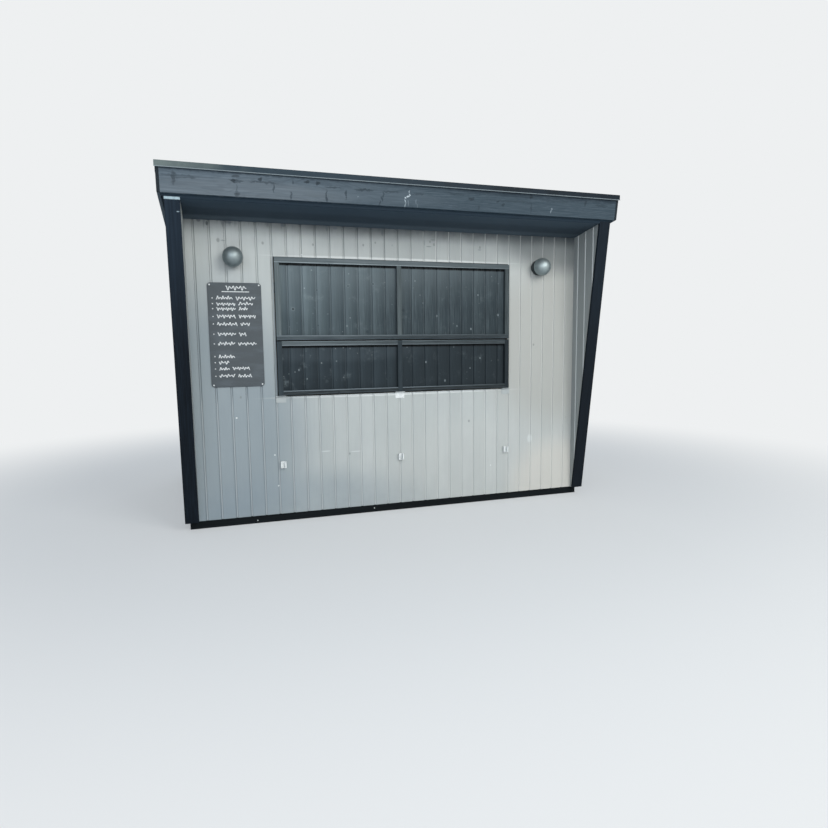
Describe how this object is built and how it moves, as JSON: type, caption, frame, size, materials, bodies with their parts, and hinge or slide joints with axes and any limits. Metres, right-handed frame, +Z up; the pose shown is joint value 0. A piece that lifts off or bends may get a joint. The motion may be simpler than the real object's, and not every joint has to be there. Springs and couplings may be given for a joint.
{
  "type": "wooden market hut",
  "caption": "Boarded market hut with leaning wings, a sloping roof and a two-part serving hatch whose upper flap lifts and lower flap folds down as a counter.",
  "frame": {"origin": "bottom centre of the hut's outline, at ground level", "axes": "+Z up, the serving front looks towards -Y, X runs along the front"},
  "size_m": [3.596, 3.0018, 2.6312],
  "materials": {
    "grey_boards": "light grey paint on planed tongued boards, grooved at each joint",
    "dark_trim": "near-black blue paint on planed boards",
    "weathered_fascia": "worn blue-grey stain on sawn boards with knots",
    "soffit_paint": "dark blue-grey paint on thin boards",
    "zinc_strip": "folded sheet, grey-green and stained",
    "roof_felt": "mineral roofing felt in lapped sheets",
    "flap_paint": "dark grey paint on boards",
    "menu_panel": "bare dark grey panel",
    "lamp_enamel": "grey enamel on spun metal",
    "galvanised_steel": "galvanised steel, partly painted over",
    "dark_sill": "pressure-treated sill, dark with damp",
    "sawn_timber": "bare sawn softwood"
  },
  "bodies": {
    "hut": {"back_cladding": "grey_boards", "back_sill": "dark_sill", "back_wall": "sawn_timber", "barge_packers": "soffit_paint", "counter_hinge_plates": "galvanised_steel", "door_casing": "dark_trim", "door_handle": "galvanised_steel", "door_hinges": "galvanised_steel", "door_leaf": "flap_paint", "eaves_board": "soffit_paint", "floor_boards": "sawn_timber", "floor_joists": "sawn_timber", "front_cladding": "grey_boards", "front_drip_strip": "zinc_strip", "front_fascia": "weathered_fascia", "front_sill": "dark_sill", "front_wall_above_hatch": "sawn_timber", "front_wall_below_hatch": "sawn_timber", "front_wall_left": "sawn_timber", "front_wall_right": "sawn_timber", "left_back_trim": "dark_trim", "left_bargeboard": "weathered_fascia", "left_cladding": "grey_boards", "left_front_trim": "dark_trim", "left_sill": "dark_sill", "left_wall": "sawn_timber", "menu_board": "menu_panel", "rafters": "sawn_timber", "rear_fascia": "weathered_fascia", "right_back_trim": "dark_trim", "right_bargeboard": "weathered_fascia", "right_cladding": "grey_boards", "right_front_trim": "dark_trim", "right_sill": "dark_sill", "right_wall_above_door": "sawn_timber", "right_wall_back": "sawn_timber", "right_wall_front": "sawn_timber", "roof_deck": "sawn_timber", "roof_felt": "roof_felt", "side_drip_strips": "zinc_strip", "soffits": "soffit_paint", "strut_seats": "galvanised_steel", "top_hinge": "galvanised_steel", "wall_lamp_bases": "lamp_enamel", "wall_lamp_hoods": "lamp_enamel", "wing_inner_boards": "grey_boards"},
    "upper_hatch": {"upper_flap": "flap_paint", "upper_flap_battens": "flap_paint", "top_hinge_leaf": "galvanised_steel"},
    "counter": {"lower_flap": "flap_paint", "lower_flap_battens": "flap_paint", "counter_hinge_leaves": "galvanised_steel"}
  },
  "joints": [
    {"name": "upper_flap_hinge", "type": "hinge", "parent": "hut", "child": "upper_hatch", "pos_m": [-0.011, -1.05409, 2.095], "axis": [-1, 0, 0], "range_deg": [0, 90]},
    {"name": "counter_hinge", "type": "hinge", "parent": "hut", "child": "counter", "pos_m": [-0.011, -1.05709, 1.016], "axis": [1, 0, 0], "range_deg": [0, 90]}
  ]
}
